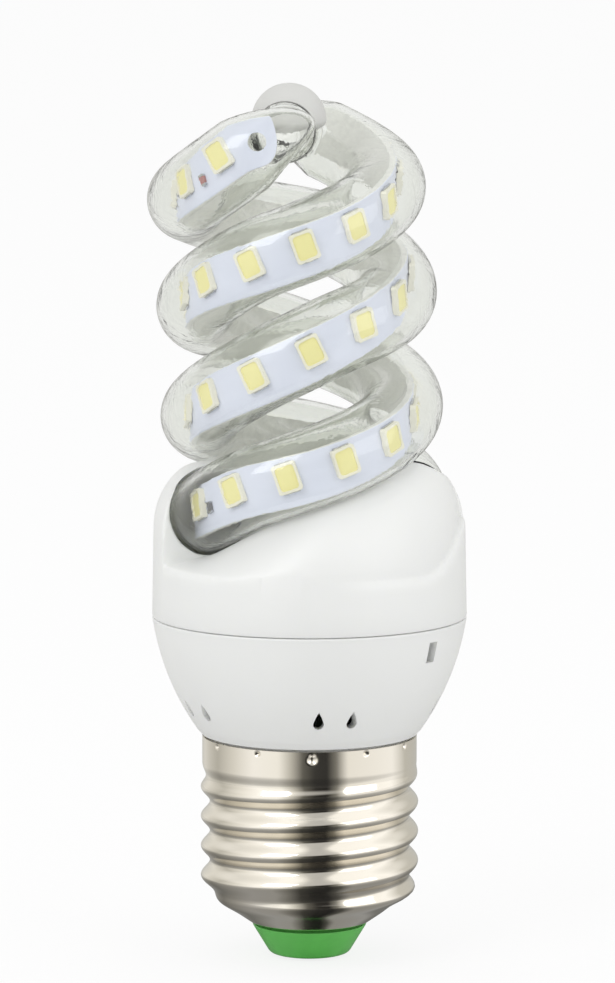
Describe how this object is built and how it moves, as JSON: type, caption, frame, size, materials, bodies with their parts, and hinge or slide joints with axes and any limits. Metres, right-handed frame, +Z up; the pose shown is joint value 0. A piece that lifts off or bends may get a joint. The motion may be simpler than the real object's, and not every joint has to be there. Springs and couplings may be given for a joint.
{
  "type": "spiral led bulb",
  "caption": "Screw-cap bulb with a blown glass double spiral that holds strips of light-emitting chips, on a white plastic housing with a driver inside.",
  "frame": {"origin": "middle of the flat face of the centre contact, at the bottom of the screw cap", "axes": "+Z up the axis of the screw cap towards the spiral, -Y towards the front that the picture shows, +X to its right"},
  "size_m": [0.0385, 0.038, 0.106],
  "materials": {
    "nickel": "nickel plated, satin",
    "insulator": "moulded",
    "housing": "fine satin moulding",
    "glass": "clear blown glass",
    "strip": "white solder mask",
    "phosphor_chip": "phosphor silicone in a white frame",
    "board": "glass epoxy",
    "capacitor": "shrink sleeve",
    "ferrite": "sintered",
    "moulding": "epoxy moulding",
    "live_wire": "insulation",
    "neutral_wire": "insulation",
    "strip_lead": "insulation"
  },
  "bodies": {
    "root": {"centre_contact": "nickel", "cap_insulator": "insulator", "screw_shell": "nickel", "lower_housing": "housing", "upper_cover": "housing", "glass_spiral": "glass", "led_strip_a": "strip", "led_strip_b": "strip", "led_a_01": "phosphor_chip", "led_a_02": "phosphor_chip", "led_a_03": "phosphor_chip", "led_a_04": "phosphor_chip", "led_a_05": "phosphor_chip", "led_a_06": "phosphor_chip", "led_a_07": "phosphor_chip", "led_a_08": "phosphor_chip", "led_a_09": "phosphor_chip", "led_a_10": "phosphor_chip", "led_a_11": "phosphor_chip", "led_a_12": "phosphor_chip", "led_a_13": "phosphor_chip", "led_a_14": "phosphor_chip", "led_a_15": "phosphor_chip", "led_a_16": "phosphor_chip", "led_a_17": "phosphor_chip", "led_a_18": "phosphor_chip", "led_a_19": "phosphor_chip", "led_a_20": "phosphor_chip", "led_a_21": "phosphor_chip", "led_b_01": "phosphor_chip", "led_b_02": "phosphor_chip", "led_b_03": "phosphor_chip", "led_b_04": "phosphor_chip", "led_b_05": "phosphor_chip", "led_b_06": "phosphor_chip", "led_b_07": "phosphor_chip", "led_b_08": "phosphor_chip", "led_b_09": "phosphor_chip", "led_b_10": "phosphor_chip", "led_b_11": "phosphor_chip", "led_b_12": "phosphor_chip", "led_b_13": "phosphor_chip", "led_b_14": "phosphor_chip", "led_b_15": "phosphor_chip", "led_b_16": "phosphor_chip", "led_b_17": "phosphor_chip", "led_b_18": "phosphor_chip", "led_b_19": "phosphor_chip", "led_b_20": "phosphor_chip", "led_b_21": "phosphor_chip", "driver_board": "board", "electrolytic_capacitor": "capacitor", "inductor": "ferrite", "bridge_rectifier": "moulding", "driver_chip": "moulding", "fuse_resistor": "capacitor", "live_wire": "live_wire", "neutral_wire": "neutral_wire", "strip_lead_a": "strip_lead", "strip_lead_b": "strip_lead"}
  },
  "joints": []
}
